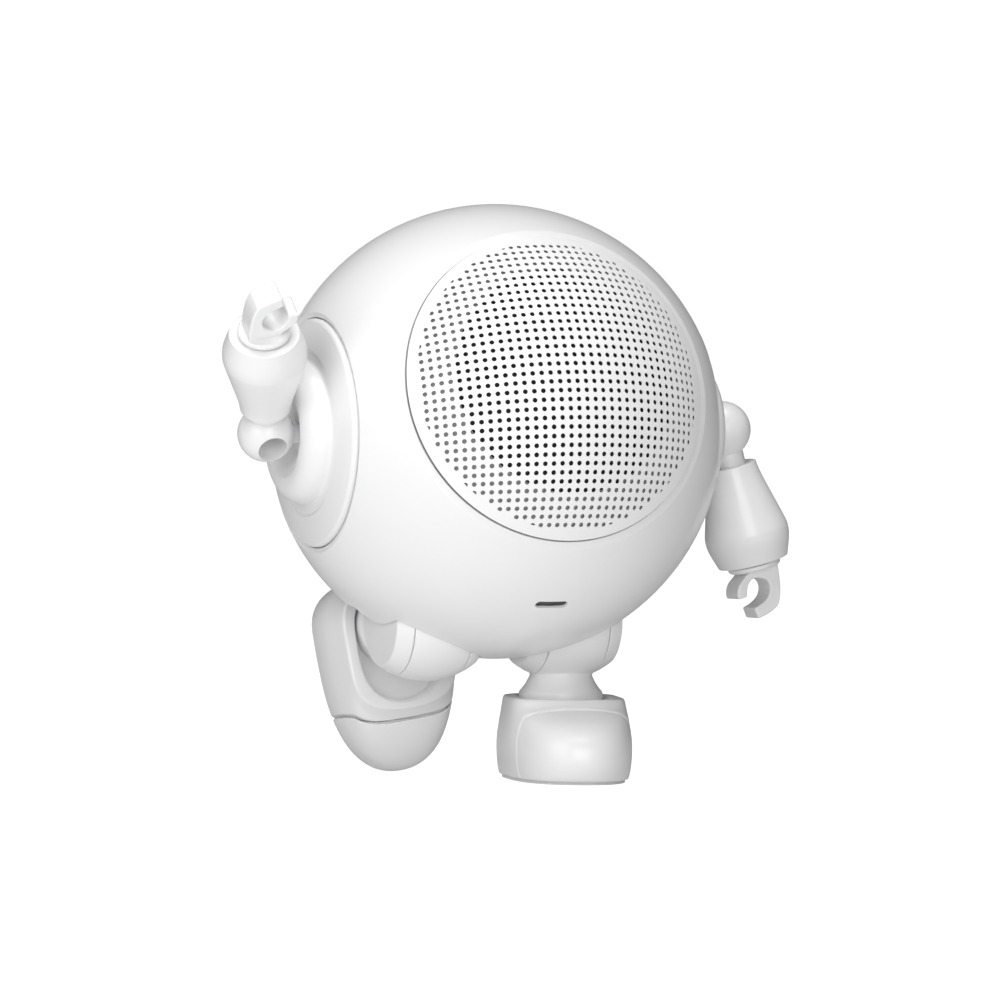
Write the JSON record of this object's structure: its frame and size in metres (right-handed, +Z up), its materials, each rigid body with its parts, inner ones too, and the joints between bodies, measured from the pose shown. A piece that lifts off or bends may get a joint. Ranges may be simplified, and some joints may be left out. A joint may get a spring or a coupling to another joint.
{
  "type": "robot figure loudspeaker",
  "caption": "Ball-bodied robot figure with a domed grille, ringed shoulders, egg-shaped forearms with C-shaped hands, and boots on barrel hips.",
  "frame": {"origin": "middle of the footprint bounding box, on the floor, straight below the ball centre", "axes": "+X towards the robot's left hand, -Y the way it faces, +Z up"},
  "size_m": [0.1058, 0.076, 0.096],
  "materials": {
    "shell": "satin-gloss white moulded plastic",
    "limb": "satin-gloss white moulded plastic",
    "grille": "white coated perforated sheet",
    "seal": "light grey rubber",
    "lens": "black glossy lens",
    "button": "matt light grey plastic",
    "frame": "satin white moulded plastic",
    "steel": "bright steel",
    "magnet": "dark coated steel",
    "basket": "black coated pressed steel",
    "cone": "black paper-like cone",
    "surround": "soft black rubber",
    "cloth": "thin black acoustic cloth",
    "board": "green circuit board",
    "switch": "black switch bodies",
    "cell": "blue wrapped cell",
    "sole": "light grey rubber"
  },
  "bodies": {
    "body": {"front_shell": "shell", "rear_shell": "shell", "shell_screws": "steel", "grille": "grille", "grille_seal": "seal", "indicator_lens": "lens", "shoulder_plate_left": "shell", "shoulder_plate_right": "shell", "hip_frame": "frame", "hip_pin_left": "steel", "hip_pin_right": "steel", "speaker_gasket": "seal", "speaker_basket": "basket", "speaker_screws": "steel", "speaker_magnet": "magnet", "speaker_surround": "surround", "speaker_cone": "cone", "dust_cap": "cone", "dust_screen": "cloth", "circuit_board": "board", "button_switches": "switch", "usb_socket": "steel", "battery": "cell", "battery_tray": "frame"},
    "arm_left": {"shoulder_ball_left": "limb", "shoulder_retainer_left": "steel", "forearm_left": "limb"},
    "hand_left": {"claw_left": "limb", "wrist_pin_left": "steel"},
    "leg_left": {"hip_knuckle_left": "limb", "ankle_screw_left": "steel"},
    "foot_left": {"boot_upper_left": "limb", "toe_cap_left": "limb", "sole_pad_left": "sole"},
    "arm_right": {"shoulder_ball_right": "limb", "shoulder_retainer_right": "steel", "forearm_right": "limb"},
    "hand_right": {"claw_right": "limb", "wrist_pin_right": "steel"},
    "leg_right": {"hip_knuckle_right": "limb", "ankle_screw_right": "steel"},
    "foot_right": {"boot_upper_right": "limb", "toe_cap_right": "limb", "sole_pad_right": "sole"},
    "power_button": {"power_button": "button"},
    "volume_up_button": {"volume_up_button": "button"},
    "volume_down_button": {"volume_down_button": "button"}
  },
  "joints": [
    {"name": "shoulder_left", "type": "hinge", "parent": "body", "child": "arm_left", "pos_m": [0.04106, 0, 0.058], "axis": [1, 0, 0], "continuous": true},
    {"name": "wrist_left", "type": "hinge", "parent": "arm_left", "child": "hand_left", "pos_m": [0.04727, 0, 0.03482], "axis": [0.2588, 0, -0.9659], "continuous": true},
    {"name": "hip_left", "type": "hinge", "parent": "body", "child": "leg_left", "pos_m": [0.0123, -0.0004, 0.0265], "axis": [1, 0, 0], "range_deg": [-30, 84.41]},
    {"name": "ankle_left", "type": "hinge", "parent": "leg_left", "child": "foot_left", "pos_m": [0.0123, -0.0004, 0.0145], "axis": [0, 0, -1], "range_deg": [-24, 0]},
    {"name": "shoulder_right", "type": "hinge", "parent": "body", "child": "arm_right", "pos_m": [-0.04106, 0, 0.058], "axis": [1, 0, 0], "continuous": true},
    {"name": "wrist_right", "type": "hinge", "parent": "arm_right", "child": "hand_right", "pos_m": [-0.04727, -0.01443, 0.07614], "axis": [-0.2588, -0.6013, 0.7559], "continuous": true},
    {"name": "hip_right", "type": "hinge", "parent": "body", "child": "leg_right", "pos_m": [-0.0123, -0.0004, 0.0265], "axis": [1, 0, 0], "range_deg": [-114.41, 0]},
    {"name": "ankle_right", "type": "hinge", "parent": "leg_right", "child": "foot_right", "pos_m": [-0.0123, 0.01154, 0.02533], "axis": [0, 0.9952, -0.0975], "range_deg": [-1, 21]},
    {"name": "power_press", "type": "slide", "parent": "body", "child": "power_button", "axis": [0, -1, 0], "range_m": [0, 0.0008], "stiffness_N_per_m": 400},
    {"name": "volume_up_press", "type": "slide", "parent": "body", "child": "volume_up_button", "axis": [0, -1, 0], "range_m": [0, 0.0008], "stiffness_N_per_m": 400},
    {"name": "volume_down_press", "type": "slide", "parent": "body", "child": "volume_down_button", "axis": [0, -1, 0], "range_m": [0, 0.0008], "stiffness_N_per_m": 400}
  ]
}
